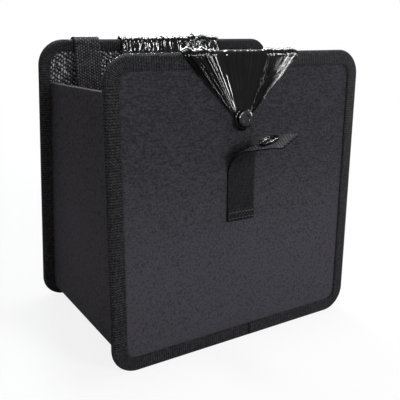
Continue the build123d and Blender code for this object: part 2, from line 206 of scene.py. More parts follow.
def objectPoint(tree, turn=(0, 0, 0), scale=(1, 1, 1)):
    where = addNode(tree, "ShaderNodeTexCoord", (-1200, 0))
    sockets = {"Vector": where.outputs["Object"], "Rotation": turn, "Scale": scale}
    return addNode(tree, "ShaderNodeMapping", (-1000, 0), sockets).outputs[0]


def stripPoint(tree):
    return addNode(tree, "ShaderNodeUVMap", (-1200, 0), uv_map="strip").outputs[0]


liningSkew = radians(4)


def liningPoint(tree):
    return objectPoint(tree, (-pi / 2, 0, liningSkew), (1 / mm, 1 / mm, 1 / mm))  # upright, in millimetres


# leathercloth: pebbled, with fine wrinkles that lie across it and are plainest near the top of a wall;
# painted highlight on the pebbles' tops and the wrinkles' crests, painted shade between the pebbles and
# towards the top of a wall
hideLook = {
    "rough": 0.8, "specular": 0.015, "tooth": 2300.0, "bump": 0.8, "deep": 0.0005,
    "strokes": (130, 130, 520), "strokeBend": 0.6, "strokeWidth": 0.16,
    "plainer": (0.06, 0.19), "calmest": 0.3,  # the heights between which the wrinkles come up and the painted shade deepens
    "grainShadingTone": 0.5, "patchTone": 0.07, "wrinkleHighlightTone": 0.2, "shade": 0.46, "hemHighlightTone": 1.2,
    "darkAt": 0.1, "lightAt": 0.65, "palest": 3.0, "hemFall": 0.068,
}
wallHide = {
    "dark": (0.0168, 0.0161, 0.0193), "light": (0.0525, 0.0504, 0.06),
    "cells": 640.0, "wrinkled": 0.9, "hem": None,
}
gussetHide = {
    "dark": (0.009, 0.0084, 0.0103), "light": (0.047, 0.0437, 0.0512),
    # hem: the height above which the hem's fold is painted paler, a painted highlight
    "cells": 520.0, "wrinkled": 0.4, "hem": 0.1962,
}


def leatherFinish(name, hide):
    look = hideLook
    m, tree, shader = newFinish(name, look)
    point = objectPoint(tree)
    grain = useGroup(tree, hideGrain, point, {"Cells": hide["cells"], "Tooth": look["tooth"]})
    stroke = objectPoint(tree, scale=look["strokes"])
    wave = addNode(tree, "ShaderNodeTexNoise", (-800, -500),
                   {"Vector": stroke, "Scale": 1.0, "Detail": 1.0, "Distortion": look["strokeBend"]})
    level = calc(tree, "SUBTRACT", wave.outputs["Fac"], 0.5, (-600, -500))
    away = calc(tree, "ABSOLUTE", level, None, (-440, -500))
    crest = remap(tree, away, (0.0, look["strokeWidth"]), (1.0, 0.0), (-280, -500))
    place = addNode(tree, "ShaderNodeSeparateXYZ", (-640, -760), {0: point})
    upper = remap(tree, place.outputs["Z"], look["plainer"], (look["calmest"], 1.0), (-460, -760))
    wrinkle = calc(tree, "MULTIPLY", crest, upper, (-100, -500))
    wrinkle = calc(tree, "MULTIPLY", wrinkle, hide["wrinkled"], (60, -500))
    # painted shade and highlight: the tone follows the grain's height, paler on the pebbles' tops and darker
    # between them
    tone = calc(tree, "MULTIPLY", grain.outputs["Height"], look["grainShadingTone"], (-400, 300))
    patches = calc(tree, "MULTIPLY", grain.outputs["Patch"], look["patchTone"])
    tone = calc(tree, "ADD", tone, patches, (-300, 300))
    # painted highlight: the wrinkles' crests are painted paler
    tone = calc(tree, "ADD", tone, calc(tree, "MULTIPLY", wrinkle, look["wrinkleHighlightTone"]), (-200, 300))
    # painted shade: the leather is painted darker towards its top
    shade = calc(tree, "MULTIPLY", upper, look["shade"] * hide["wrinkled"], (-220, 440))
    tone = calc(tree, "SUBTRACT", tone, shade, (-100, 300))
    if hide["hem"]:  # painted highlight: the fold of the hem is painted paler along a line that falls towards the back
        fall = addNode(tree, "ShaderNodeVectorMath", (-640, 560), {0: point, 1: (0, look["hemFall"], 1)},
                       operation="DOT_PRODUCT")
        hemHighlightLine = calc(tree, "GREATER_THAN", fall.outputs["Value"], hide["hem"], (-460, 560))
        paler = calc(tree, "MULTIPLY", hemHighlightLine, look["hemHighlightTone"], (-300, 560))
        tone = calc(tree, "ADD", tone, paler, (0, 300))
    palest = [look["palest"] * c for c in hide["light"]]
    stops = [(look["darkAt"], hide["dark"]), (look["lightAt"], hide["light"]), (1.0, palest)]
    tint(tree, shader, tone, stops)
    bump(tree, shader, calc(tree, "ADD", grain.outputs["Height"], wrinkle), look["bump"], look["deep"])
    return m


wallLeather = leatherFinish("wallLeather", wallHide)
gussetLeather = leatherFinish("gussetLeather", gussetHide)

# woven finishes: edge tape, webbing and the coarse lining, toned from the hollows up to the crests: painted
# shade in the hollows and painted highlight on the crests
tapeCloth = {
    "tones": [(0.38, (0.0012, 0.0011, 0.0015)), (0.62, (0.0105, 0.0101, 0.012)),
              (0.95, (0.047, 0.0456, 0.0512))],
    "rough": 0.6, "specular": 0.015, "deep": 0.0006,
    "weave": {"Column": 0.9, "Float": 1.9, "Shift": 0.4, "Ribs": 0.42, "Wander": 1.1},
}
tabCloth = {
    "tones": [(0.38, (0.0008, 0.0008, 0.0011)), (0.62, (0.0046, 0.0045, 0.0056)),
              (0.95, (0.026, 0.0253, 0.0295))],
    "rough": 0.55, "specular": 0.015, "deep": 0.0006,
    "weave": {"Column": 0.9, "Float": 2.6, "Shift": 0.3, "Ribs": 0.1, "Wander": 0.7},
}
# the tab's inner face: the same webbing painted paler, painted light where it faces up on the open tab
tabInsideLitCloth = {
    **tabCloth, "rough": 0.6, "specular": 0.02,
    "tones": [(0.38, (0.008, 0.0078, 0.009)), (0.62, (0.04, 0.039, 0.0445)), (0.95, (0.12, 0.117, 0.13))],
}
# the strap's webbing is the tabs' webbing painted lighter: painted light for the light that falls on it
strapLitCloth = {
    "tones": [(0.38, (0.0015, 0.0014, 0.0019)), (0.62, (0.0175, 0.017, 0.0196)),
              (0.95, (0.076, 0.074, 0.083))],
    "rough": 0.55, "specular": 0.02, "deep": 0.0006,
    "weave": {"Column": 2.0, "Float": 2.3, "Shift": 0.5, "Ribs": 0.1, "Wander": 0.6},
}
# the coarse lining: its brightest stop is painted glints on the threads' crests, a painted highlight
liningGlintCloth = {
    "tones": [(0.42, (0.002, 0.0018, 0.0025)), (0.68, (0.012, 0.0116, 0.0142)), (0.98, (0.36, 0.353, 0.37))],
    "rough": 0.4, "specular": 0.08, "deep": 0.0009,
    "weave": {"Column": 2.2, "Float": 3.4, "Shift": 0.34, "Ribs": 0.0, "Wander": 3.6},
}
threadShadingShare, frayShare = 0.65, 0.55  # how far the threads' height, painted as shade in the hollows and highlight on the crests, and their fray set the tone


def wovenFinish(name, cloth, point):
    m, tree, shader = newFinish(name, cloth)
    weft = useGroup(tree, threads, point(tree), cloth["weave"])
    # painted shade and highlight: the tone rises from the threads' hollows to their crests
    tone = calc(tree, "MULTIPLY", weft.outputs["Height"], threadShadingShare, (-400, 300))
    tone = calc(tree, "ADD", tone, calc(tree, "MULTIPLY", weft.outputs["Fray"], frayShare), (-300, 300))
    tint(tree, shader, tone, cloth["tones"])
    bump(tree, shader, weft.outputs["Height"], 1.0, cloth["deep"])
    return m


edgeTape = wovenFinish("edgeTape", tapeCloth, stripPoint)
webbing = wovenFinish("webbing", tabCloth, stripPoint)
tabInsideLit = wovenFinish("tabInsideLit", tabInsideLitCloth, stripPoint)
strapLitWebbing = wovenFinish("strapLitWebbing", strapLitCloth, stripPoint)
sheetLining = wovenFinish("sheetLining", liningGlintCloth, liningPoint)
stripLining = wovenFinish("stripLining", liningGlintCloth, stripPoint)

# finishes toned by one noise: sewing thread, moulded snaps, crinkled film and the grey board
sewingThread = {"rough": 0.5, "specular": 0.03, "noise": {"Scale": 1800.0}, "bump": 0.5, "deep": 0.0002}
tapeThread = {**sewingThread, "tones": [(0.3, (0.005, 0.0048, 0.006)), (0.7, (0.022, 0.021, 0.025))]}
webThread = {**sewingThread, "tones": [(0.3, (0.03, 0.029, 0.034)), (0.7, (0.1, 0.098, 0.11))]}
snapGloss = {
    "rough": 0.1, "specular": 0.26, "polish": (0.07, 0.14), "noise": {"Scale": 260.0, "Detail": 3.0},
    "tones": [(0.3, (0.006, 0.006, 0.007)), (0.7, (0.012, 0.0118, 0.013))], "bump": 0.12, "deep": 0.0004,
}
filmGloss = {
    "rough": 0.08, "specular": 0.1, "polish": (0.05, 0.12), "crinkle": 170.0, "ridges": -0.5,
    "noise": {"Scale": 120.0, "Detail": 4.0, "Distortion": 0.8},
    "tones": [(0.3, (0.0015, 0.0015, 0.0018)), (0.75, (0.0036, 0.0035, 0.004))], "bump": 0.06, "deep": 0.0012,
}
boardFibre = {
    "rough": 0.9, "specular": 0.2, "noise": {"Scale": 420.0, "Detail": 8.0},
    "tones": [(0.3, (0.13, 0.12, 0.105)), (0.7, (0.23, 0.215, 0.19))], "bump": 0.3, "deep": 0.0003,
}


def mottledFinish(name, look):
    m, tree, shader = newFinish(name, look)
    point = objectPoint(tree)
    mottle = addNode(tree, "ShaderNodeTexNoise", (-800, 200), {"Vector": point, **look["noise"]})
    height = mottle.outputs["Fac"]
    tint(tree, shader, height, look["tones"])
    if "polish" in look:
        polish = remap(tree, height, (0.0, 1.0), look["polish"], (-300, -150), "LINEAR")
        tree.links.new(polish, shader.inputs["Roughness"])
    if "crinkle" in look:
        crinkle = addNode(tree, "ShaderNodeTexVoronoi", (-800, -100),
                          {"Vector": point, "Scale": look["crinkle"]}, feature="DISTANCE_TO_EDGE")
        ridges = calc(tree, "MULTIPLY", crinkle.outputs["Distance"], look["ridges"])
        height = calc(tree, "ADD", ridges, height)
    bump(tree, shader, height, look["bump"], look["deep"])
    return m


darkThread = mottledFinish("darkThread", tapeThread)
paleThread = mottledFinish("paleThread", webThread)
snapPlastic = mottledFinish("snapPlastic", snapGloss)
bagFilm = mottledFinish("bagFilm", filmGloss)
greyBoard = mottledFinish("greyBoard", boardFibre)
print("finishes ready")


# mesh helpers
def newPiece(name, bm, finish, slotName, *nodes):
    mesh = bpy.data.meshes.new(name)
    bm.to_mesh(mesh)
    bm.free()
    mesh.materials.append(finish)
    mesh.shade_smooth()
    piece = bpy.data.objects.new(name, mesh)
    scene.collection.objects.link(piece)
    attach(piece, "root")
    if nodes:
        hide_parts(*nodes)
    return piece


def sweepBand(bm, profile, places):
    # a closed section carried from place to place; strip coordinates are left on the points
    run = bm.verts.layers.float.new("run")
    girth = bm.verts.layers.float.new("girth")
    ring = [bm.verts.new(places[0] @ Vector((a, b, 0))) for a, b in profile]
    walked = 0.0
    for i, v in enumerate(ring):
        if i:
            walked += hypot(profile[i][0] - profile[i - 1][0], profile[i][1] - profile[i - 1][1])
        v[girth] = walked
    edges = [bm.edges.new((ring[i - 1], ring[i])) for i in range(len(ring))]
    length = 0.0
    for before, after in zip(places, places[1:]):
        grown = bmesh.ops.extrude_edge_only(bm, edges=edges)["geom"]
        fresh = [g for g in grown if isinstance(g, bmesh.types.BMVert)]
        bmesh.ops.transform(bm, matrix=after @ before.inverted(), verts=fresh)
        length += (after.translation - before.translation).length
        for v in fresh:
            v[run] = length
        new = set(fresh)
        edges = [g for g in grown if isinstance(g, bmesh.types.BMEdge) and set(g.verts) <= new]
    bmesh.ops.edgeloop_fill(bm, edges=edges)
    bm.faces.new(ring)
    bmesh.ops.recalc_face_normals(bm, faces=bm.faces)


def layStrip(bm):
    # strip coordinates: x round the section, y along the run, in millimetres
    run, girth = bm.verts.layers.float["run"], bm.verts.layers.float["girth"]
    strip = bm.loops.layers.uv.new("strip")
    for face in bm.faces:
        for loop in face.loops:
            loop[strip].uv = (loop.vert[girth], loop.vert[run])


# edge tape, folded round each wall and lapped at the bottom
tapeSize = {
    "face": 11.5, "inside": 9.0, "under": 5.8, "soft": 0.35, "crown": 0.12, "gap": 0.05,
    "ringStep": 4.0, "cornerSteps": 14, "crownSteps": 7, "foldSteps": 14, "backSteps": 5, "coreSteps": 6,
    "lapStart": 7.0, "lapLength": 14.0, "lapShort": 1.5, "lapFade": 5.0, "lapRise": 0.75, "lapFrom": 1.5,
    "wave": 0.16, "waveFrom": 0.3, "waveRise": 0.6, "waveRun": 0.09, "waveAcross": 0.25, "waveSeed": 3.1,
}


def tapeSection():
    s, t, soft = tapeSize, binSize["tape"], tapeSize["soft"]
    face, inside, under, steps = s["face"], s["inside"], -binSize["stack"], s["crownSteps"]
    fold, back = (edgeHalf, edgeN), under - t
    outer = [(face, s["gap"]), (face, t - soft), (face - soft, t)]
    outer += [(mix(face - soft, edgeHalf, i / steps), t + s["crown"] * sin(pi * i / steps))
              for i in range(1, steps)]
    outer += arcPoints(fold, edgeHalf, pi / 2, 1.5 * pi, s["foldSteps"])
    outer += rowPoints((edgeHalf, back), (inside - soft, back), s["backSteps"])[1:]
    outer += [(inside, back + soft), (inside, under - s["gap"])]
    inner = [(edgeHalf, under - s["gap"])]
    inner += arcPoints(fold, edgeHalf - t + s["gap"], 1.5 * pi, pi / 2, s["coreSteps"])[1:-1]
    return outer + inner + [(edgeHalf, s["gap"])]


def tapePath():
    half, r, top = binSize["panel"] / 2, binSize["corner"], binSize["panel"]
    lap = tapeSize["lapStart"]
    end = lap + tapeSize["lapLength"] - tapeSize["lapShort"]
    runs = [((lap, 0), (half - r, 0)), ((half, r), (half, top - r)), ((half - r, top), (r - half, top)),
            ((-half, top - r), (-half, r)), ((r - half, 0), (end, 0))]
    centres = [(half - r, r), (half - r, top - r), (r - half, top - r), (r - half, r)]
    places = []
    for k, (a, b) in enumerate(runs):
        onward = Vector((cos(k * pi / 2), sin(k * pi / 2), 0))
        inward = Vector((-onward.y, onward.x, 0))
        axes = axesOf(inward, (0, 0, 1), onward)
        a, b = Vector((*a, 0)), Vector((*b, 0))
        steps = ceil((b - a).length / tapeSize["ringStep"])
        places += [Matrix.Translation(a.lerp(b, i / steps)) @ axes for i in range(steps + 1)]
        if k < len(centres):
            pivot, straight = Matrix.Translation((*centres[k], 0)), places[-1]
            for i in range(1, tapeSize["cornerSteps"]):
                swing = Matrix.Rotation(pi / 2 * i / tapeSize["cornerSteps"], 4, "Z")
                places.append(pivot @ swing @ pivot.inverted() @ straight)
    return places


def foldTape(name, wall, node):
    s = tapeSize
    half, r, top, stack = binSize["panel"] / 2, binSize["corner"], binSize["panel"], binSize["stack"]
    narrower = (s["under"] - edgeHalf) / (s["inside"] - edgeHalf)
    bm = bmesh.new()
    sweepBand(bm, tapeSection(), tapePath())
    run = bm.verts.layers.float["run"]
    for v in bm.verts:
        u, h, n = v.co
        atBottom = smooth((r - h) / r)
        edge = Vector((min(max(u, r - half), half - r), min(max(h, r), top - r), 0))
        out = Vector((u, h, 0)) - edge
        d = r - out.length  # in from the wall's outline
        if n < -stack and d > edgeHalf and atBottom:  # the inner leg is narrower under the gusset
            reach = mix(d, edgeHalf + (d - edgeHalf) * narrower, atBottom)
            v.co = edge + out.normalized() * (r - reach) + Vector((0, 0, n))
        lap = 1 - smooth((v[run] - s["lapLength"]) / s["lapFade"])
        if d > s["lapFrom"] and n > 0:
            v.co.z += s["lapRise"] * lap
        if d > s["lapFrom"] and n < -stack:
            v.co.z -= s["lapRise"] * lap
        if n > s["waveFrom"] and lap == 0:  # the sewn tape isn't quite even
            ripple = noise.noise(Vector((v[run] * s["waveRun"], d * s["waveAcross"], s["waveSeed"])))
            v.co.z += s["wave"] * (s["waveRise"] + ripple)
    layStrip(bm)
    bmesh.ops.transform(bm, matrix=wall, verts=bm.verts)
    for v in bm.verts:
        v.co.z = max(v.co.z, 0.0)  # pressed flat where the bin stands
    newPiece(name, bm, edgeTape, "edge_tape", node)


foldTape("front_edge_tape", frontWall, "front_binding")
foldTape("back_edge_tape", backWall, "back_binding")
print("edge tape folded")

# sewing: rows of short stitches, along the tape and across the webbing
tapeStitch = {"fromEdge": 1.7, "pitch": 3.3, "lift": 0.1, "skip": 5, "long": 2.7, "wide": 0.62, "high": 0.5}
tabStitch = {
    "rows": (1.9, 6.6), "count": 8, "reach": 10.6, "lift": 0.05, "long": 2.3, "wide": 0.7, "high": 0.55,
}
strapStitch = {
    "rows": (2.2, 7.0, 38.0, 43.0), "count": 7, "reach": 9.0, "lift": 0.05,
    "long": 2.2, "wide": 0.7, "high": 0.5,
}


def sewRow(name, wall, places, stitch, thread, slotName):
    bm = bmesh.new()
    shape = Matrix.Diagonal((stitch["wide"], stitch["high"], stitch["long"], 1))
    for m in places:
        bmesh.ops.create_uvsphere(bm, u_segments=8, v_segments=5, radius=0.5, matrix=m @ shape)
    bmesh.ops.transform(bm, matrix=wall, verts=bm.verts)
    newPiece(name, bm, thread, slotName)


def sewTape(name, wall):
    # walk the seam at an even pitch, on the tape's face near its inner edge
    seat = Vector((tapeSize["face"] - tapeStitch["fromEdge"], binSize["tape"] + tapeStitch["lift"], 0))
    path = tapePath()
    rest, sewn = 0.0, []
    for before, after in list(zip(path, path[1:]))[tapeStitch["skip"]:-tapeStitch["skip"]]:
        a, b = before @ seat, after @ seat
        gap = (b - a).length
        while rest < gap:
            spot = a.lerp(b, rest / gap)
            spot.z += tapeSize["wave"] * tapeSize["waveRise"]
            sewn.append(Matrix.Translation(spot) @ before.to_3x3().to_4x4())
            rest += tapeStitch["pitch"]
        rest -= gap
    sewRow(name, wall, sewn, tapeStitch, darkThread, "edge_tape")


def sewAcross(name, wall, stitch, spotAt):
    turned = Matrix.Rotation(pi / 2, 4, "Y")
    places = []
    for along in stitch["rows"]:
        for i in range(stitch["count"]):
            across = mix(-stitch["reach"], stitch["reach"], i / (stitch["count"] - 1))
            places.append(Matrix.Translation(spotAt(across, along)) @ turned)
    sewRow(name, wall, places, stitch, paleThread, "webbing")


sewTape("front_tape_stitches", frontWall)
sewTape("back_tape_stitches", backWall)
print("tape sewn")

# gusset: one strip, left side, bottom and right side, with rolled hems and a slight outward bow
gussetSize = {
    "side": 103.5, "lift": 6.5, "corner": 6.0, "top": 197.0, "fall": 10.0, "thick": 0.9, "behind": 3.55,
    "hemReach": 2.5, "hemDepth": 12.0, "hemStep": 0.3, "bow": 1.3, "rows": 34, "flare": 1.6,
}
liningSize = {
    "side": 102.5, "lift": 9.6, "corner": 5.0, "top": 191.1, "fall": 10.0, "thick": 0.5, "behind": 4.35,
    "hemReach": 0.5, "hemDepth": 0.0, "hemStep": 0.0, "bow": 1.25, "rows": 20, "flare": 0.0,
}
flareStops = [0.982, 0.992, 1.0]  # shares of the half depth where the seam's edge turns out
troughSteps = {"floor": 14, "corner": 5, "outside": 26, "hem": 6, "hemInside": 3, "inside": 22}
bowSize = {
    "fallFrom": 25.0, "sideReach": 8.0, "sideFade": 6.0, "footTo": 8.0, "footFade": 30.0, "even": 0.55,
    "belly": 0.45, "ripple": 0.55, "rippleDepth": 0.02, "rippleHeight": 0.014,
    "rightSeed": 5.0, "leftSeed": 9.0,
}


def troughSection(s):
    # right half from the middle of the bottom up to the hem and back down inside
    side, lift, r, t, top, reach = s["side"], s["lift"], s["corner"], s["thick"], s["top"], s["hemReach"]
    flat, high, half, steps = side - r, lift + r, reach / 2, troughSteps
    right = rowPoints((0, lift), (flat, lift), steps["floor"])[:-1]
    right += arcPoints((flat, high), r, -pi / 2, 0, steps["corner"])
    right += rowPoints((side, high), (side, top), steps["outside"])[1:-1]
    right += arcPoints((side - half, top - half), half, 0, pi, steps["hem"])
    low = top - s["hemDepth"]
    if s["hemDepth"]:
        right += rowPoints((side - reach, top - reach), (side - reach, low), steps["hemInside"])[1:]
        right += [(side - t, low - s["hemStep"])]
    right += rowPoints((side - t, low), (side - t, high), steps["inside"])[1:-1]
    right += arcPoints((flat, high), r - t, 0, -pi / 2, steps["corner"])
    right += rowPoints((flat, lift + t), (0, lift + t), steps["floor"])[1:-1]
    left = [(-x, z) for x, z in reversed(right[1:])]
    return right + [(0.0, lift + t)] + left


def bendTrough(name, s, finish, slotName, node):
    bm = bmesh.new()
    stops = [-1 + 2 * i / s["rows"] for i in range(s["rows"] + 1)]
    if s["flare"]:
        stops = [-t for t in reversed(flareStops)] + stops[1:-1] + flareStops
    upright = Matrix.Rotation(pi / 2, 4, "X")  # the section stands in x and z
    depth = binSize["depth"] / 2
    sweepBand(bm, troughSection(s), [Matrix.Translation((0, t * depth, 0)) @ upright for t in stops])
    b = bowSize
    for v in bm.verts:
        x, y, z = v.co
        t = y / depth
        y = t * (depth - s["behind"] / cos(lean) - z * tan(lean))
        rise = smooth((z - b["fallFrom"]) / (s["top"] - b["fallFrom"]))
        onSide = smooth((abs(x) - s["side"] + b["sideReach"]) / b["sideFade"])
        onSide *= smooth((z - b["footTo"]) / b["footFade"])
        bow = s["bow"] * (1 - t * t) * onSide * (b["even"] + b["belly"] * sin(pi * z / s["top"]))
        seed = b["rightSeed"] if x > 0 else b["leftSeed"]
        ripple = noise.noise(Vector((y * b["rippleDepth"], z * b["rippleHeight"], seed)))
        bow += b["ripple"] * onSide * (1 - t ** 4) * ripple
        bow += s["flare"] * smooth((abs(t) - flareStops[0]) / (1 - flareStops[0])) * onSide
        v.co = (x + bow * (1 if x > 0 else -1), y, z - y / binSize["depth"] * s["fall"] * rise)
    layStrip(bm)
    bmesh.ops.transform(bm, matrix=Matrix.Scale(mm, 4), verts=bm.verts)
    return newPiece(name, bm, finish, slotName, node)


gusset = bendTrough("gusset_strip", gussetSize, gussetLeather, "leathercloth", "gusset")
inner = bendTrough("gusset_strip_lining", liningSize, stripLining, "lining_cloth", "gusset_lining")
print("gusset bent")

# webbing: tabs on both walls and the strap over the back edge
webSteps = {"across": 24, "edge": 5}
tabSize = {
    "wide": 25.0, "thick": 1.3, "foot": 101.9, "long": 97.0, "step": 1.5,
    "hem": 8.5, "hemRise": 0.9, "hemFade": 1.2, "outerFrom": 0.9, "innerTo": 0.3,
    "rollStart": 38.5, "rollRadius": 20.5, "rollAngle": 82.5, "slant": 19.7,
    "tipStart": 85.9, "tipRadius": 40.0, "teeth": 6, "toothDeep": 2.0, "toothFrom": 4.0,
    "rampFrom": 143.45, "rampTo": 169.45, "closedLift": 6.0, "closedShare": 0.993,
}


def webSection(wide, thick):
    half, r = wide / 2, thick / 2
    top = rowPoints((half - r, r), (r - half, r), webSteps["across"])
    left = arcPoints((r - half, 0), r, pi / 2, 1.5 * pi, webSteps["edge"])[1:-1]
    return top + left + [(-x, -y) for x, y in top + left]


def straightPlaces(long, step):
    steps = ceil(long / step)
    # section x stays across, section y becomes the height over the wall, and the run goes up it
    axes = axesOf((1, 0, 0), (0, 0, 1), (0, 1, 0))
    return [Matrix.Translation((0, mix(0, long, i / steps), 0)) @ axes for i in range(steps + 1)]


# a tab's points are given across it, along it and over the wall
def openTab(across, along, over):
    # droop of the tip, then the roll about a slanted line
    s = tabSize
    if along > s["tipStart"]:
        turn = (along - s["tipStart"]) / s["tipRadius"]
        reach = s["tipRadius"] - over
        along, over = s["tipStart"] + reach * sin(turn), s["tipRadius"] - reach * cos(turn)
    slant, r, full = radians(s["slant"]), s["rollRadius"], radians(s["rollAngle"])
    alongFold = across * cos(slant) + (along - s["rollStart"]) * sin(slant)
    past = -across * sin(slant) + (along - s["rollStart"]) * cos(slant)
    turn = min(max(past / r, 0.0), full)
    rest = past - r * turn
    past = (r - over) * sin(turn) + rest * cos(turn)
    over = r - (r - over) * cos(turn) + rest * sin(turn)
    return Vector((binSize["snapOffset"] + alongFold * cos(slant) - past * sin(slant),
                   s["foot"] + s["rollStart"] + alongFold * sin(slant) + past * cos(slant), over))


def closedTab(across, along, over):
    up = tabSize["foot"] + along * tabSize["closedShare"]
    share = smooth((up - tabSize["rampFrom"]) / (tabSize["rampTo"] - tabSize["rampFrom"]))
    return Vector((binSize["snapOffset"] + across, up, tabSize["closedLift"] * share + over))


def weaveTab(name, wall, shape, node):
    s = tabSize
    bm = bmesh.new()
    sweepBand(bm, webSection(s["wide"], s["thick"]), straightPlaces(s["long"], s["step"]))
    layStrip(bm)
    for v in bm.verts:
        across, along, over = v.co
        over += s["thick"] / 2
        share = (across / s["wide"] + 0.5) * s["teeth"]
        nearEnd = smooth((along - s["long"] + s["toothFrom"]) / s["toothFrom"])
        along -= nearEnd * s["toothDeep"] * abs(2 * (share - floor(share)) - 1)  # cut with pinking shears
        if over > s["outerFrom"]:
            over += s["hemRise"] * smooth((s["hem"] - along) / s["hemFade"])
        v.co = shape(across, along, over)
        v.tag = over < s["innerTo"]
    bmesh.ops.recalc_face_normals(bm, faces=bm.faces)
    for face in bm.faces:
        face.material_index = 1 if all(v.tag for v in face.verts) else 0  # the inner face, the same webbing painted paler: painted light
    bmesh.ops.transform(bm, matrix=wall, verts=bm.verts)
    piece = newPiece(name, bm, webbing, "webbing", node)
    piece.data.materials.append(tabInsideLit)
    sewnAt = s["thick"] + s["hemRise"] + tabStitch["lift"]
    sewAcross(name + "_stitches", wall, tabStitch, lambda across, along: shape(across, along, sewnAt))


weaveTab("front_webbing_tab", frontWall, openTab, "front_tab")
weaveTab("back_webbing_tab", backWall, closedTab, "back_tab")

strapSize = {
    "wide": 22.0, "thick": 1.3, "middle": 74.5, "foot": 148.0, "drop": 104.0, "swing": 10.0, "below": 214.2,
    "ramp": 11.5, "rampStep": 3.0, "step": 4.0, "flatPoints": 3, "bendSteps": 16,
}


def strapPlaces():
    s = strapSize
    mid, swing, below, step = s["thick"] / 2, radians(s["swing"]), s["below"], s["step"]
    over = edgeReach + mid
    knots = [(s["foot"], mid), (below - s["ramp"], mid), (below, edgeN + over)]
    line = []
    for (v0, n0), (v1, n1) in zip(knots, knots[1:]):
        steps = ceil(hypot(v1 - v0, n1 - n0) / s["rampStep"])
        line += [(mix(v0, v1, i / steps), mix(n0, n1, smooth(i / steps))) for i in range(steps)]
    line += [(below + step * i, edgeN + over) for i in range(s["flatPoints"])]
    turns = [(pi + swing) * i / s["bendSteps"] for i in range(s["bendSteps"] + 1)]
    line += [(edgeV + over * sin(a), edgeN + over * cos(a)) for a in turns]
    v, n = line[-1]
    hanging = [step * i for i in range(1, int(s["drop"] / step) + 1)]
    line += [(v - far * cos(swing), n - far * sin(swing)) for far in hanging]
    across = Vector((1, 0, 0))
    places = []
    for i, (v, n) in enumerate(line):
        a, b = line[max(i - 1, 0)], line[min(i + 1, len(line) - 1)]
        onward = Vector((0, b[0] - a[0], b[1] - a[1])).normalized()
        axes = axesOf(across, across.cross(onward), onward)
        places.append(Matrix.Translation((s["middle"], v, n)) @ axes)
    return places


def strapSpot(across, along):
    s = strapSize
    return Vector((s["middle"] + across, s["foot"] + along, s["thick"] + strapStitch["lift"]))


bm = bmesh.new()
sweepBand(bm, webSection(strapSize["wide"], strapSize["thick"]), strapPlaces())
layStrip(bm)
bmesh.ops.transform(bm, matrix=backWall, verts=bm.verts)
newPiece("back_edge_strap", bm, strapLitWebbing, "webbing", "hanging_strap")
sewAcross("back_edge_strap_stitches", backWall, strapStitch, strapSpot)
print("webbing woven")

# snaps, turned from half profiles whose corners are rounded off
snapSize = {
    "capRadius": 6.2, "capRise": 1.6, "capEdge": 0.6, "capCrown": 0.8, "post": 1.6,
    "flangeRadius": 6.5, "flange": 0.8, "neckRadius": 2.5, "headFrom": 3.5, "headRadius": 6.0, "headTop": 5.4,
    "dishRadius": 3.0, "dish": 0.8, "socketRadius": 7.55, "bore": 6.15, "floor": 0.5, "socketDeep": 2.4,
    "round": 0.9, "roundShare": 0.45, "roundSteps": 5, "weld": 0.001,
    "along": 78.4, "closed": 6.0, "steps": 48,
}


def roundOff(points):
    line, share, steps = [points[0]], snapSize["roundShare"], snapSize["roundSteps"]
    shares = [i / steps for i in range(steps + 1)]
    for before, corner, after in zip(points, points[1:], points[2:]):
        a, b, c = Vector(before), Vector(corner), Vector(after)
        r = min(snapSize["round"], share * (a - b).length, share * (c - b).length)
        start, end = b + (a - b).normalized() * r, b + (c - b).normalized() * r
        line += [start.lerp(b, t).lerp(b.lerp(end, t), t) for t in shares]
    return line + [points[-1]]


def turnSnap(name, seat, points, node):
    bm = bmesh.new()
    verts = [bm.verts.new((p[0], 0, p[1])) for p in roundOff(points)]
    edges = [bm.edges.new(pair) for pair in zip(verts, verts[1:])]
    bmesh.ops.spin(
        bm, geom=verts + edges, axis=(0, 0, 1), angle=2 * pi, steps=snapSize["steps"], use_merge=True)
    bmesh.ops.remove_doubles(bm, verts=bm.verts, dist=snapSize["weld"])
    bmesh.ops.recalc_face_normals(bm, faces=bm.faces)
    bmesh.ops.transform(bm, matrix=seat, verts=bm.verts)
    newPiece(name, bm, snapPlastic, "snap_plastic", node)


def capProfile(post):
    r, top, pin = snapSize["capRadius"], snapSize["capRise"], snapSize["post"]
    edge, crown = snapSize["capEdge"] * top, snapSize["capCrown"] * r
    return [(0, -post), (pin, -post), (pin, 0), (r, 0), (r, edge), (crown, top), (0, top)]


def studProfile():
    s = snapSize
    foot, neck, head, dish = s["flangeRadius"], s["neckRadius"], s["headRadius"], s["dishRadius"]
    low = s["headTop"] - s["dish"]
    return [(0, 0), (foot, 0), (foot, s["flange"]), (neck, s["flange"]), (neck, s["headFrom"]),
            (head, s["headFrom"]), (head, s["headTop"]), (dish, s["headTop"]), (dish, low), (0, low)]


def socketProfile():
    r, bore, deep, web = snapSize["socketRadius"], snapSize["bore"], snapSize["socketDeep"], snapSize["floor"]
    return [(0, 0), (r, 0), (r, -deep), (bore, -deep), (bore, -web), (0, -web)]


def openSeat():
    along = snapSize["along"]
    at = openTab(0, along, 0)
    axes = [openTab(*step) - at for step in ((1, along, 0), (0, along + 1, 0), (0, along, 1))]
    return Matrix.Translation(at) @ axesOf(*axes)


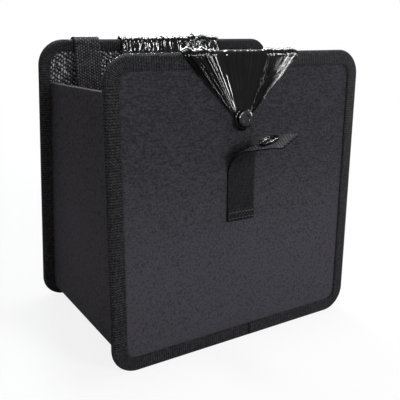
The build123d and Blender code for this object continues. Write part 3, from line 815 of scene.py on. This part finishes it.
wallSnap = Matrix.Translation((binSize["snapOffset"], binSize["snapHeight"], 0))
closedSeat = wallSnap @ Matrix.Translation((0, 0, snapSize["closed"]))
inside = wallSnap @ Matrix.Translation((0, 0, -binSize["wallLayers"])) @ Matrix.Rotation(pi, 4, "X")
outer = Matrix.Translation((0, 0, tabSize["thick"]))
for side, wall, seat in (("front", frontWall, openSeat()), ("back", backWall, closedSeat)):
    turnSnap(f"{side}_turned_stud", wall @ wallSnap, studProfile(), f"{side}_stud")
    turnSnap(f"{side}_turned_stud_cap", wall @ inside, capProfile(binSize["wallLayers"]), f"{side}_stud_cap")
    turnSnap(f"{side}_turned_socket", wall @ seat, socketProfile(), f"{side}_tab_socket")
    turnSnap(f"{side}_turned_tab_cap", wall @ seat @ outer, capProfile(tabSize["thick"]), f"{side}_tab_cap")
print("snaps turned")

# bag: two halves of film that meet at the middle of the sides, each gathered over an edge and round a stud
bagSize = {
    "side": 101.5, "bottom": 10.4, "depth": 5.75, "corner": 12.0, "film": 0.16, "seam": 0.05, "columns": 420,
    "floorRise": 1.0, "floorShare": 0.985, "floorPinch": 0.6, "wallFrom": 1.5, "sag": 1.2, "slackTop": 112.0,
    "pullFrom": 144.0, "pullIn": 0.55, "rim": 156.0, "rimSpread": 0.16, "rimBulge": 2.0, "gatherFrom": 199.0,
    "bulge": 8.0, "edgeGap": 0.15, "settle": 1.6, "foot": 177.0, "footCurve": 4.0, "loopWide": 15.0,
    "loopLift": 1.5,
}
frontGather = {
    "ends": (-55.0, 46.0), "folds": 9, "foldRise": 2.1, "creases": 37, "creaseRise": 1.55, "lean": 0.0,
    "middle": 0.2, "seed": 11, "loopSeed": 2.0,
}
backGather = {
    "ends": (-54.0, 44.0), "folds": 8, "foldRise": 2.4, "creases": 29, "creaseRise": 2.0, "lean": 16.0,
    "middle": 0.9, "seed": 8, "loopSeed": 6.0,
}
# each fold draws its height, the place of its rounded crest and its sharpness; then they drift and differ
foldDraws = ((0.2, 1.0), (0.25, 0.75), (0.7, 1.8))
foldSize = {
    "drift": (7.0, 1.1), "foldDrift": 0.2, "creaseDrift": 0.8, "uneven": (17.0, 2.2), "unevenness": 0.9,
    "slack": (14.0, 1.1), "crowding": 2.2, "narrowing": 0.75, "flatTo": 0.36, "fullFrom": 0.6,
    "seedStep": 1.7, "unevenSeed": 4.0,
}
# how far along the folds each stretch of the gather lies
downOf = {"sweep": (-0.4, 0.0), "inside": (0.0, 0.15), "over": (0.2, 0.5), "fall": (0.5, 1.5)}
bagN = -bagSize["depth"] - bagSize["bulge"]
bagOver = edgeReach + bagSize["edgeGap"]


def aroundHalf(c, deep):
    # a point of a half sack seen from above: across the wall and out towards it, with rounded corners
    side, r = bagSize["side"], bagSize["corner"]
    arc = pi / 2 * r
    total = 2 * (deep - r) + 2 * (side - r) + 2 * arc
    at = c * total
    if at > total / 2:
        u, out = aroundHalf(1 - c, deep)
        return -u, out
    if at < deep - r:
        return -side, at
    if at < deep - r + arc:
        a = (at - deep + r) / r
        return r - side - r * cos(a), deep - r + r * sin(a)
    return r - side + (at - deep + r - arc), deep


def sackPoint(half, c, z, share=1.0):
    deep = binSize["depth"] / 2 - bagSize["depth"] / cos(lean) - z * tan(lean)
    u, out = aroundHalf(c, deep)
    return half["lower"] @ Vector((-half["side"] * u, half["side"] * out * share, z))


def foldTable(pick, count):
    return [tuple(pick.uniform(*draw) for draw in foldDraws) for _ in range(count + 1)]


def foldShape(place, table):
    k = floor(place)
    tall, crest, sharp = table[k % len(table)]
    x = place - k
    return tall * sin(pi / 2 * (x / crest if x < crest else (1 - x) / (1 - crest))) ** sharp


def gatherHeight(half, w, down, narrow=1.0):
    # broad folds carry finer creases, closer together at both ends; the middle is pulled nearly flat
    s, seed = foldSize, foldSize["seedStep"] * half["seed"]
    off = abs(2 * w - 1)
    drift = noise.noise(Vector((w * s["drift"][0], down * s["drift"][1], seed)))
    crowd = 0.5 + 0.5 * (1 if w > 0.5 else -1) * (0.5 * off + 0.5 * off ** s["crowding"])
    broad = foldShape(w * half["folds"] + s["foldDrift"] * drift, half["broad"]) * half["foldRise"]
    leaning = half["lean"] * down * (w - 0.5)
    place = crowd * half["creases"] + s["creaseDrift"] * drift + leaning
    uneven = noise.noise(Vector((w * s["uneven"][0], down * s["uneven"][1], seed + s["unevenSeed"])))
    fine = foldShape(place, half["fine"]) * half["creaseRise"] * s["unevenness"] * (1 + uneven)
    flat = smooth((off - s["flatTo"]) / (s["fullFrom"] - s["flatTo"]))
    return (broad + fine) * narrow ** s["narrowing"] * mix(half["middle"], 1.0, flat)


def slackAt(half, q, c):
    across, up = foldSize["slack"]
    return 0.5 + 0.5 * noise.noise(Vector((c * across, q * up, half["seed"])))


# the film's stretches, from the middle of the floor to the stud, for a share q of the way and c across
def onFloor(half, q, c):
    rise = bagSize["floorRise"] * slackAt(half, q, c)
    p = sackPoint(half, c, bagSize["bottom"] + rise, q * bagSize["floorShare"])
    p.x *= mix(bagSize["floorPinch"], bagSize["floorShare"], q)
    return p


def upWall(half, q, c):
    p = sackPoint(half, c, mix(bagSize["bottom"] + bagSize["wallFrom"], bagSize["slackTop"], q))
    p.z -= bagSize["sag"] * slackAt(half, q, c) * sin(pi * q)
    return p


def sweepUp(half, q, c):
    u = mix(*half["ends"], c)
    a = sackPoint(half, c, bagSize["slackTop"])
    b = sackPoint(half, c, bagSize["pullFrom"])
    b.z = mix(b.z, bagN, bagSize["pullIn"])
    d = Vector((mix(u, a.x, bagSize["rimSpread"]), bagSize["rim"], bagN - bagSize["rimBulge"]))
    e = Vector((u, bagSize["gatherFrom"], bagN))
    p = a * (1 - q) ** 3 + b * 3 * q * (1 - q) ** 2 + d * 3 * q * q * (1 - q) + e * q ** 3
    p.z -= gatherHeight(half, c, mix(*downOf["sweep"], q)) * smooth(q)
    return p


def upInside(half, q, c):
    n = mix(bagN, edgeN - bagOver, smooth(0.5 * q) * 2) - gatherHeight(half, c, mix(*downOf["inside"], q))
    return Vector((mix(*half["ends"], c), mix(bagSize["gatherFrom"], edgeV, q), n))


def overEdge(half, q, c):
    turn = pi * q - pi / 2
    reach = bagOver + gatherHeight(half, c, mix(*downOf["over"], q))
    return Vector((mix(*half["ends"], c), edgeV + reach * cos(turn), edgeN + reach * sin(turn)))


def fallToStud(half, q, c):
    left, right = half["ends"]
    endU = binSize["snapOffset"] + bagSize["loopWide"] * (c - 0.5)
    endV = bagSize["foot"] + (2 * c - 1) ** 2 * bagSize["footCurve"]
    narrow = mix(1.0, bagSize["loopWide"] / (right - left), q)
    n = mix(edgeN + bagOver, bagSize["loopLift"], smooth(q * bagSize["settle"]))
    n += gatherHeight(half, c, mix(*downOf["fall"], q), narrow)
    return Vector((mix(mix(left, right, c), endU, q), mix(edgeV, endV, q), n))


filmRows = [(onFloor, 3), (upWall, 6), (sweepUp, 8), (upInside, 4), (overEdge, 9), (fallToStud, 24)]


def layHalf(bm, wall, side, gather):
    pick = random.Random(gather["seed"])
    half = {
        **gather, "side": side, "lower": wall.inverted() @ Matrix.Scale(mm, 4),  # into the wall's millimetres
        "broad": foldTable(pick, gather["folds"]), "fine": foldTable(pick, gather["creases"]),
    }
    parts = [(onFloor, 0.0)] + [(part, (i + 1) / n) for part, n in filmRows for i in range(n)]
    rows = len(parts) - 1
    made = bmesh.ops.create_grid(bm, x_segments=bagSize["columns"], y_segments=rows, size=0.5)["verts"]
    for v in made:
        part, q = parts[round((v.co.y + 0.5) * rows)]
        v.co = part(half, q, v.co.x + 0.5)
    bmesh.ops.transform(bm, matrix=wall, verts=made)


# the bunched end of the film, looped round the stud behind its head
loopSize = {
    "drop": 0.9, "lift": 2.3, "radius": 6.9, "wide": 1.4, "high": 0.85, "sides": 10, "steps": 64,
    "uneven": 0.07, "unevenRun": 3.0, "ripple": 0.03, "ripples": 9, "twist": 4,
}


def loopFilm(bm, wall, seed):
    s = loopSize
    middle = Vector((binSize["snapOffset"], binSize["snapHeight"] - s["drop"], s["lift"]))
    old = set(bm.verts)
    oval = [2 * pi * i / s["sides"] for i in range(s["sides"])]
    section = [Vector((0, s["radius"] + s["wide"] * cos(a), s["high"] * sin(a))) for a in oval]
    start = [bm.verts.new(middle + p) for p in section]
    loop = [bm.edges.new((start[i - 1], start[i])) for i in range(s["sides"])]
    bmesh.ops.spin(
        bm, geom=start + loop, cent=middle, axis=(0, 0, 1), angle=2 * pi, steps=s["steps"], use_merge=True)
    ring = [v for v in bm.verts if v not in old]
    for v in ring:
        out = v.co - middle
        a = atan2(out.y, out.x)
        around = Vector((cos(a) * s["unevenRun"], sin(a) * s["unevenRun"], seed))
        swell = 1 + s["uneven"] * noise.noise(around)
        swell += s["ripple"] * sin(a * s["ripples"] + out.z * s["twist"])
        v.co = middle + Vector((out.x * swell, out.y * swell, out.z))
    bmesh.ops.transform(bm, matrix=wall, verts=ring)


bm = bmesh.new()
layHalf(bm, frontWall, -1, frontGather)
layHalf(bm, backWall, 1, backGather)
bmesh.ops.remove_doubles(bm, verts=bm.verts, dist=bagSize["seam"] * mm)
bmesh.ops.recalc_face_normals(bm, faces=bm.faces)
bag = newPiece("film_bag", bm, bagFilm, "bag_film", "bag_liner")
thickness = bag.modifiers.new("film", "SOLIDIFY")
thickness.thickness = bagSize["film"] * mm
thickness.offset = 0.0
bm = bmesh.new()
loopFilm(bm, frontWall, frontGather["loopSeed"])
loopFilm(bm, backWall, backGather["loopSeed"])
bmesh.ops.recalc_face_normals(bm, faces=bm.faces)
loops = newPiece("film_loops", bm, bagFilm, "bag_film")
print("bag gathered")

# finishes of the pieces that keep the frame's own shapes
finishOf = {"leather": wallLeather, "board": greyBoard, "lining": sheetLining}
plain = {f"{side}_{layer}": finish for side in ("front", "back") for layer, finish in finishOf.items()}
plain["base_board"] = greyBoard
for node, finish in plain.items():
    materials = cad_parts[node].data.materials
    materials.clear()
    materials.append(finish)


def whiteToView(tree):
    # one for the rays that should find the white room: the camera's, and those in gloss or through film
    seen = addNode(tree, "ShaderNodeLightPath", (-600, 0))
    gloss = calc(tree, "MAXIMUM", seen.outputs["Is Camera Ray"], seen.outputs["Is Glossy Ray"], (-400, 0))
    return calc(tree, "MAXIMUM", gloss, seen.outputs["Is Transmission Ray"], (-200, 0))


# pale floor that keeps a faint shadow near the bin
floorSize = {"half": 30.0, "pale": (0.9, 0.9, 0.91), "shadow": 0.15, "fade": (0.5, 1.3)}
bm = bmesh.new()
bmesh.ops.create_grid(bm, x_segments=1, y_segments=1, size=floorSize["half"])
mesh = bpy.data.meshes.new("studio_floor")
bm.to_mesh(mesh)
bm.free()
ground = bpy.data.objects.new("studio_floor", mesh)
scene.collection.objects.link(ground)
paper = bpy.data.materials.new("floorPaper")
paper.use_nodes = True
tree = paper.node_tree
tree.nodes.remove(tree.nodes["Principled BSDF"])
lit = addNode(tree, "ShaderNodeBsdfDiffuse", sockets={"Color": (*floorSize["pale"], 1)})
white = addNode(tree, "ShaderNodeEmission", (0, -200))
away = addNode(tree, "ShaderNodeVectorMath", (-600, 300), {0: objectPoint(tree)}, operation="LENGTH")
fade = remap(tree, away.outputs["Value"], floorSize["fade"], (1 - floorSize["shadow"], 1.0), (-400, 300))
shown = calc(tree, "MULTIPLY", whiteToView(tree), fade)
blend = addNode(tree, "ShaderNodeMixShader", (200, 0), {"Fac": shown, 1: lit.outputs[0], 2: white.outputs[0]})
tree.links.new(blend.outputs[0], tree.nodes["Material Output"].inputs["Surface"])
mesh.materials.append(paper)

# white room, dimmer as a light than as it is seen
roomLight = 0.32
room = bpy.data.worlds.new("room")
scene.world = room
room.use_nodes = True
tree = room.node_tree
level = remap(tree, whiteToView(tree), (0.0, 1.0), (roomLight, 1.0), (0, 0), "LINEAR")
tree.links.new(level, tree.nodes["Background"].inputs["Strength"])
tree.nodes["Background"].inputs["Color"].default_value = (1, 1, 1, 1)

# soft lamps, and glints that only gloss picks up: name, place, size, watts, soft
lamps = [
    ("keyLamp", (0.85, -2.15, 0.98), (0.58, 0.48), 37.0, True),
    ("rightLamp", (1.45, -0.3, 0.6), (0.34, 0.2), 4.0, True),
    ("topLamp", (0.2, 0.1, 1.5), (0.36, 0.24), 9.0, True),
    ("backLamp", (0.5, 2.15, 0.98), (0.58, 0.48), 25.0, True),
    ("frontGlint", (-0.45, -1.35, 0.5), (0.32, 0.2), 50.0, False),
    ("highGlint", (0.1, -1.25, 0.88), (0.22, 0.17), 75.0, False),
    ("leftGlint", (-1.35, -0.75, 0.55), (0.22, 0.32), 36.0, False),
    ("rightGlint", (1.4, -0.55, 0.4), (0.22, 0.34), 42.0, False),
    ("topGlint", (0.1, 0.5, 1.35), (1.2, 0.6), 170.0, False),
    ("backGlint", (0.45, 1.35, 0.7), (0.32, 0.24), 50.0, False),
]
lampAim = Vector((0, 0, 0.16))
for name, where, size, power, soft in lamps:
    lamp = bpy.data.lights.new(name, "AREA")
    lamp.shape = "RECTANGLE"
    lamp.size, lamp.size_y = size
    lamp.energy = power
    holder = bpy.data.objects.new(name, lamp)
    turned = (lampAim - Vector(where)).to_track_quat("-Z", "Y").to_matrix().to_4x4()
    holder.matrix_world = Matrix.Translation(where) @ turned
    holder.visible_camera = False
    holder.visible_diffuse = soft
    holder.visible_glossy = not soft
    scene.collection.objects.link(holder)

# camera at the photograph's viewing angle
eye = {
    "at": (-0.2772, -0.4195, 0.2624), "right": (0.83692, -0.54599, 0.03816),
    "up": (0.14128, 0.28285, 0.94870), "back": (-0.52878, -0.78860, 0.31386),
    "lens": 55.386, "sensor": 36.0, "nearest": 0.01,
}
lensData = bpy.data.cameras.new("viewpoint")
lensData.lens = eye["lens"]
lensData.sensor_width = eye["sensor"]
lensData.clip_start = eye["nearest"]
viewpoint = bpy.data.objects.new("viewpoint", lensData)
viewpoint.matrix_world = Matrix.Translation(eye["at"]) @ axesOf(eye["right"], eye["up"], eye["back"])
scene.collection.objects.link(viewpoint)
scene.camera = viewpoint
print("stage lit")
